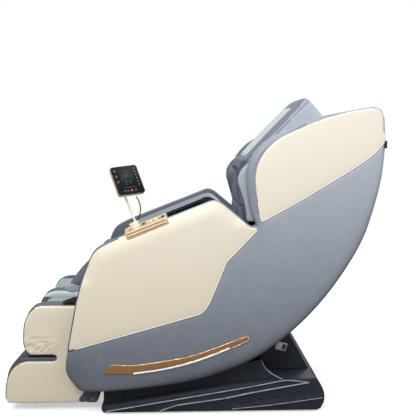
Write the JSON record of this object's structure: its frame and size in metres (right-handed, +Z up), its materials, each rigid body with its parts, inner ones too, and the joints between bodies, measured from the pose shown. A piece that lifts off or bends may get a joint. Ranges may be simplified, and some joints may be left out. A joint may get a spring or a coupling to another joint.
{
  "type": "massage chair",
  "caption": "Reclining massage chair with deep side shells, padded arm tunnels, lifting calf and foot rest and an arm-mounted control tablet.",
  "frame": {"origin": "on the floor, at the middle of the chair's length and width", "axes": "+X towards the rear (the sitter faces -X), +Y towards the sitter's right, +Z up"},
  "size_m": [1.4624, 0.78, 1.2405],
  "materials": {
    "steel_frame": "satin",
    "bright_steel": "satin",
    "base_black": "satin",
    "dark_grey_plastic": "satin",
    "rubber": "matte",
    "grey_leather": "satin",
    "cream_leather": "satin",
    "teal_knit": "matte",
    "gold": "gloss",
    "bronze_trim": "gloss",
    "light_bar": "gloss",
    "black_glass": "gloss",
    "red_key": "gloss",
    "black_key": "satin"
  },
  "bodies": {
    "base": {"base_frame": "steel_frame", "base_cover": "base_black", "column_cover": "base_black", "pivot_shaft": "bright_steel", "foot_front_left": "rubber", "foot_front_right": "rubber", "foot_rear_left": "rubber", "foot_rear_right": "rubber", "control_box": "dark_grey_plastic", "air_pump": "dark_grey_plastic", "power_inlet": "bright_steel"},
    "recliner": {"seat_frame": "steel_frame", "back_frame": "steel_frame", "guide_rail_left": "bright_steel", "guide_rail_right": "bright_steel", "side_shell_left": "grey_leather", "side_shell_right": "grey_leather", "arm_panel_left": "cream_leather", "arm_panel_right": "cream_leather", "wing_panel_left": "cream_leather", "wing_panel_right": "cream_leather", "arm_pad_left": "grey_leather", "arm_pad_right": "grey_leather", "trim_strip_left": "bronze_trim", "trim_strip_right": "bronze_trim", "light_strip_left": "light_bar", "light_strip_right": "light_bar", "back_shell": "grey_leather", "seat_cushion": "grey_leather", "back_cushion": "grey_leather", "head_pillow": "grey_leather", "shoulder_pad_left": "grey_leather", "shoulder_pad_right": "grey_leather", "control_panel": "gold"},
    "leg_lifter": {"leg_lift_frame": "steel_frame"},
    "leg_rest": {"leg_shell": "grey_leather", "calf_pad": "teal_knit", "leg_back_cover": "dark_grey_plastic", "leg_panel_left": "cream_leather", "leg_panel_right": "cream_leather"},
    "foot_roller": {"foot_roller": "rubber"},
    "carriage": {"carriage_frame": "steel_frame"},
    "massage_arm_left": {"massage_arm_left": "dark_grey_plastic"},
    "massage_arm_right": {"massage_arm_right": "dark_grey_plastic"},
    "tablet_holder": {"holder_pole": "gold", "tablet_cable": "rubber"},
    "tablet": {"tablet_case": "gold", "tablet_screen": "black_glass"},
    "tablet_power_key": {"tablet_power_key": "red_key"},
    "quick_key_1": {"quick_key_1": "black_key"},
    "quick_key_2": {"quick_key_2": "gold"},
    "quick_key_3": {"quick_key_3": "gold"},
    "quick_key_4": {"quick_key_4": "black_key"},
    "power_switch": {"power_switch": "black_key"},
    "wheel_left": {"transport_wheel_left": "rubber"},
    "wheel_right": {"transport_wheel_right": "rubber"},
    "recline_actuator_tube": {"recline_actuator_body": "dark_grey_plastic"},
    "recline_actuator_ram": {"recline_actuator_rod": "bright_steel"},
    "leg_actuator_tube": {"leg_actuator_body": "dark_grey_plastic"},
    "leg_actuator_ram": {"leg_actuator_rod": "bright_steel"}
  },
  "joints": [
    {"name": "recline", "type": "hinge", "parent": "base", "child": "recliner", "pos_m": [0.255, 0, 0.33], "axis": [0, 1, 0], "range_deg": [0, 30]},
    {"name": "leg_lift", "type": "hinge", "parent": "recliner", "child": "leg_lifter", "pos_m": [-0.39, 0, 0.425], "axis": [0, 1, 0], "range_deg": [0, 85]},
    {"name": "leg_extend", "type": "slide", "parent": "leg_lifter", "child": "leg_rest", "axis": [0, 0, -1], "range_m": [0, 0.121]},
    {"name": "foot_roller_spin", "type": "hinge", "parent": "leg_rest", "child": "foot_roller", "pos_m": [-0.6, 0, 0.088], "axis": [0, 1, 0], "continuous": true},
    {"name": "carriage_travel", "type": "slide", "parent": "recliner", "child": "carriage", "axis": [0.4848, 0, 0.8746], "range_m": [-0.15, 0.3]},
    {"name": "massage_arm_left_swing", "type": "hinge", "parent": "carriage", "child": "massage_arm_left", "pos_m": [0.26853, 0, 0.62719], "axis": [0, 1, 0], "range_deg": [-6, 6]},
    {"name": "massage_arm_right_swing", "type": "hinge", "parent": "carriage", "child": "massage_arm_right", "pos_m": [0.26853, 0, 0.62719], "axis": [0, 1, 0], "range_deg": [-6, 6]},
    {"name": "holder_swivel", "type": "hinge", "parent": "recliner", "child": "tablet_holder", "pos_m": [-0.2106, -0.349, 0.74312], "axis": [-0.3649, 0, 0.9311], "range_deg": [-40, 40]},
    {"name": "tablet_tilt", "type": "hinge", "parent": "tablet_holder", "child": "tablet", "pos_m": [-0.2499, -0.34, 0.85983], "axis": [0.8698, 0.4821, 0.105], "range_deg": [-15, 12]},
    {"name": "tablet_power_key_press", "type": "slide", "parent": "tablet", "child": "tablet_power_key", "axis": [-0.3569, 0.7617, -0.5407], "range_m": [0, 0.0012]},
    {"name": "quick_key_1_press", "type": "slide", "parent": "recliner", "child": "quick_key_1", "axis": [0.3582, 0.1908, -0.914], "range_m": [0, 0.0015]},
    {"name": "quick_key_2_press", "type": "slide", "parent": "recliner", "child": "quick_key_2", "axis": [0.3582, 0.1908, -0.914], "range_m": [0, 0.0015]},
    {"name": "quick_key_3_press", "type": "slide", "parent": "recliner", "child": "quick_key_3", "axis": [0.3582, 0.1908, -0.914], "range_m": [0, 0.0015]},
    {"name": "quick_key_4_press", "type": "slide", "parent": "recliner", "child": "quick_key_4", "axis": [0.3582, 0.1908, -0.914], "range_m": [0, 0.0015]},
    {"name": "power_switch_rock", "type": "hinge", "parent": "base", "child": "power_switch", "pos_m": [0.37967, -0.2339, 0.22834], "axis": [0.9703, 0, -0.2419], "range_deg": [-8, 8]},
    {"name": "wheel_left_spin", "type": "hinge", "parent": "base", "child": "wheel_left", "pos_m": [0.419, -0.163, 0.029], "axis": [0, 1, 0], "continuous": true},
    {"name": "wheel_right_spin", "type": "hinge", "parent": "base", "child": "wheel_right", "pos_m": [0.419, 0.163, 0.029], "axis": [0, 1, 0], "continuous": true},
    {"name": "recline_actuator_swing", "type": "hinge", "parent": "base", "child": "recline_actuator_tube", "pos_m": [-0.121, 0, 0.06], "axis": [0, 1, 0], "range_deg": [-9, 0]},
    {"name": "recline_actuator_stroke", "type": "slide", "parent": "recline_actuator_tube", "child": "recline_actuator_ram", "axis": [0.5613, 0, 0.8276], "range_m": [0, 0.107]},
    {"name": "leg_actuator_swing", "type": "hinge", "parent": "recliner", "child": "leg_actuator_tube", "pos_m": [-0.06, 0, 0.215], "axis": [0, 1, 0], "range_deg": [0, 12]},
    {"name": "leg_actuator_stroke", "type": "slide", "parent": "leg_actuator_tube", "child": "leg_actuator_ram", "axis": [-0.971, 0, 0.2392], "range_m": [0, 0.15]}
  ],
  "couplings": [
    {"joint": "leg_extend", "follows": "leg_lift", "m_per_rad": 0.08089},
    {"joint": "recline_actuator_swing", "follows": "recline", "ratio": -0.28489},
    {"joint": "recline_actuator_stroke", "follows": "recline", "m_per_rad": 0.20061},
    {"joint": "leg_actuator_swing", "follows": "leg_lift", "ratio": 0.13309},
    {"joint": "leg_actuator_stroke", "follows": "leg_lift", "m_per_rad": 0.09994}
  ]
}
